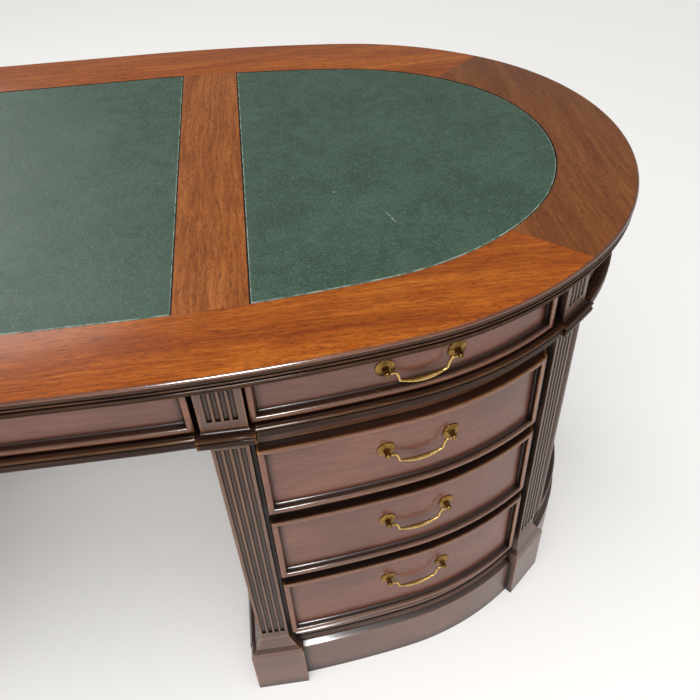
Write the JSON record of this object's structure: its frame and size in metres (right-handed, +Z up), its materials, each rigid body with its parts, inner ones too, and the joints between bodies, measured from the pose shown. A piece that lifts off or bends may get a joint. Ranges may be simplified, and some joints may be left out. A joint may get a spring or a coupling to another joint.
{
  "type": "oval pedestal desk",
  "caption": "Oval pedestal desk with leather writing panels, bow-fronted drawers with swan-neck bail handles, fluted pilasters and an open kneehole",
  "frame": {"origin": "middle of the footprint on the floor", "axes": "+X along the length to the right of a person at the drawers' side, +Y to the back, +Z up"},
  "size_m": [1.98, 0.895, 0.78],
  "materials": {
    "top_wood": "polished",
    "dark_wood": "polished",
    "inner_wood": "matt",
    "leather": "satin",
    "brass": "aged satin"
  },
  "bodies": {
    "desk": {"top_board": "inner_wood", "edge_moulding": "dark_wood", "long_borders": "top_wood", "border_ends": "top_wood", "cross_straps": "top_wood", "leather_centre": "leather", "leather_ends": "leather", "frieze_carcass": "dark_wood", "frieze_cornice": "dark_wood", "frieze_caps": "dark_wood", "frieze_blocks": "dark_wood", "frieze_end_panels": "dark_wood", "frieze_back_panels": "dark_wood", "left_carcass": "dark_wood", "left_pilasters": "dark_wood", "left_plinth": "dark_wood", "left_end_panel": "dark_wood", "left_back_panel": "dark_wood", "right_carcass": "dark_wood", "right_pilasters": "dark_wood", "right_plinth": "dark_wood", "right_end_panel": "dark_wood", "right_back_panel": "dark_wood"},
    "kneehole_drawer": {"kneehole_drawer_front": "dark_wood", "kneehole_drawer_box": "inner_wood", "kneehole_drawer_posts": "brass"},
    "kneehole_drawer_handle": {"kneehole_drawer_bail": "brass"},
    "right_frieze_drawer": {"right_frieze_drawer_front": "dark_wood", "right_frieze_drawer_box": "inner_wood", "right_frieze_drawer_posts": "brass"},
    "right_frieze_drawer_handle": {"right_frieze_drawer_bail": "brass"},
    "right_drawer_3": {"right_drawer_3_front": "dark_wood", "right_drawer_3_box": "inner_wood", "right_drawer_3_posts": "brass"},
    "right_drawer_3_handle": {"right_drawer_3_bail": "brass"},
    "right_drawer_2": {"right_drawer_2_front": "dark_wood", "right_drawer_2_box": "inner_wood", "right_drawer_2_posts": "brass"},
    "right_drawer_2_handle": {"right_drawer_2_bail": "brass"},
    "right_drawer_1": {"right_drawer_1_front": "dark_wood", "right_drawer_1_box": "inner_wood", "right_drawer_1_posts": "brass"},
    "right_drawer_1_handle": {"right_drawer_1_bail": "brass"},
    "left_frieze_drawer": {"left_frieze_drawer_front": "dark_wood", "left_frieze_drawer_box": "inner_wood", "left_frieze_drawer_posts": "brass"},
    "left_frieze_drawer_handle": {"left_frieze_drawer_bail": "brass"},
    "left_drawer_3": {"left_drawer_3_front": "dark_wood", "left_drawer_3_box": "inner_wood", "left_drawer_3_posts": "brass"},
    "left_drawer_3_handle": {"left_drawer_3_bail": "brass"},
    "left_drawer_2": {"left_drawer_2_front": "dark_wood", "left_drawer_2_box": "inner_wood", "left_drawer_2_posts": "brass"},
    "left_drawer_2_handle": {"left_drawer_2_bail": "brass"},
    "left_drawer_1": {"left_drawer_1_front": "dark_wood", "left_drawer_1_box": "inner_wood", "left_drawer_1_posts": "brass"},
    "left_drawer_1_handle": {"left_drawer_1_bail": "brass"}
  },
  "joints": [
    {"name": "kneehole_drawer_slide", "type": "slide", "parent": "desk", "child": "kneehole_drawer", "axis": [0, -1, 0], "range_m": [0, 0.37]},
    {"name": "kneehole_drawer_handle_swing", "type": "hinge", "parent": "kneehole_drawer", "child": "kneehole_drawer_handle", "pos_m": [0, -0.4255, 0.71151], "axis": [-1, 0, 0], "range_deg": [-15, 165]},
    {"name": "right_frieze_drawer_slide", "type": "slide", "parent": "desk", "child": "right_frieze_drawer", "axis": [0, -1, 0], "range_m": [0, 0.37]},
    {"name": "right_frieze_drawer_handle_swing", "type": "hinge", "parent": "right_frieze_drawer", "child": "right_frieze_drawer_handle", "pos_m": [0.61079, -0.39326, 0.71151], "axis": [-0.9799, -0.1996, 0], "range_deg": [-15, 165]},
    {"name": "right_drawer_3_slide", "type": "slide", "parent": "desk", "child": "right_drawer_3", "axis": [0, -1, 0], "range_m": [0, 0.37]},
    {"name": "right_drawer_3_handle_swing", "type": "hinge", "parent": "right_drawer_3", "child": "right_drawer_3_handle", "pos_m": [0.61079, -0.39326, 0.24004], "axis": [-0.9799, -0.1996, 0], "range_deg": [-15, 165]},
    {"name": "right_drawer_2_slide", "type": "slide", "parent": "desk", "child": "right_drawer_2", "axis": [0, -1, 0], "range_m": [0, 0.37]},
    {"name": "right_drawer_2_handle_swing", "type": "hinge", "parent": "right_drawer_2", "child": "right_drawer_2_handle", "pos_m": [0.61079, -0.39326, 0.40197], "axis": [-0.9799, -0.1996, 0], "range_deg": [-15, 165]},
    {"name": "right_drawer_1_slide", "type": "slide", "parent": "desk", "child": "right_drawer_1", "axis": [0, -1, 0], "range_m": [0, 0.37]},
    {"name": "right_drawer_1_handle_swing", "type": "hinge", "parent": "right_drawer_1", "child": "right_drawer_1_handle", "pos_m": [0.61079, -0.39326, 0.5615], "axis": [-0.9799, -0.1996, 0], "range_deg": [-15, 165]},
    {"name": "left_frieze_drawer_slide", "type": "slide", "parent": "desk", "child": "left_frieze_drawer", "axis": [0, -1, 0], "range_m": [0, 0.37]},
    {"name": "left_frieze_drawer_handle_swing", "type": "hinge", "parent": "left_frieze_drawer", "child": "left_frieze_drawer_handle", "pos_m": [-0.61079, -0.39326, 0.71151], "axis": [-0.9799, 0.1996, 0], "range_deg": [-15, 165]},
    {"name": "left_drawer_3_slide", "type": "slide", "parent": "desk", "child": "left_drawer_3", "axis": [0, -1, 0], "range_m": [0, 0.37]},
    {"name": "left_drawer_3_handle_swing", "type": "hinge", "parent": "left_drawer_3", "child": "left_drawer_3_handle", "pos_m": [-0.61079, -0.39326, 0.24004], "axis": [-0.9799, 0.1996, 0], "range_deg": [-15, 165]},
    {"name": "left_drawer_2_slide", "type": "slide", "parent": "desk", "child": "left_drawer_2", "axis": [0, -1, 0], "range_m": [0, 0.37]},
    {"name": "left_drawer_2_handle_swing", "type": "hinge", "parent": "left_drawer_2", "child": "left_drawer_2_handle", "pos_m": [-0.61079, -0.39326, 0.40197], "axis": [-0.9799, 0.1996, 0], "range_deg": [-15, 165]},
    {"name": "left_drawer_1_slide", "type": "slide", "parent": "desk", "child": "left_drawer_1", "axis": [0, -1, 0], "range_m": [0, 0.37]},
    {"name": "left_drawer_1_handle_swing", "type": "hinge", "parent": "left_drawer_1", "child": "left_drawer_1_handle", "pos_m": [-0.61079, -0.39326, 0.5615], "axis": [-0.9799, 0.1996, 0], "range_deg": [-15, 165]}
  ]
}
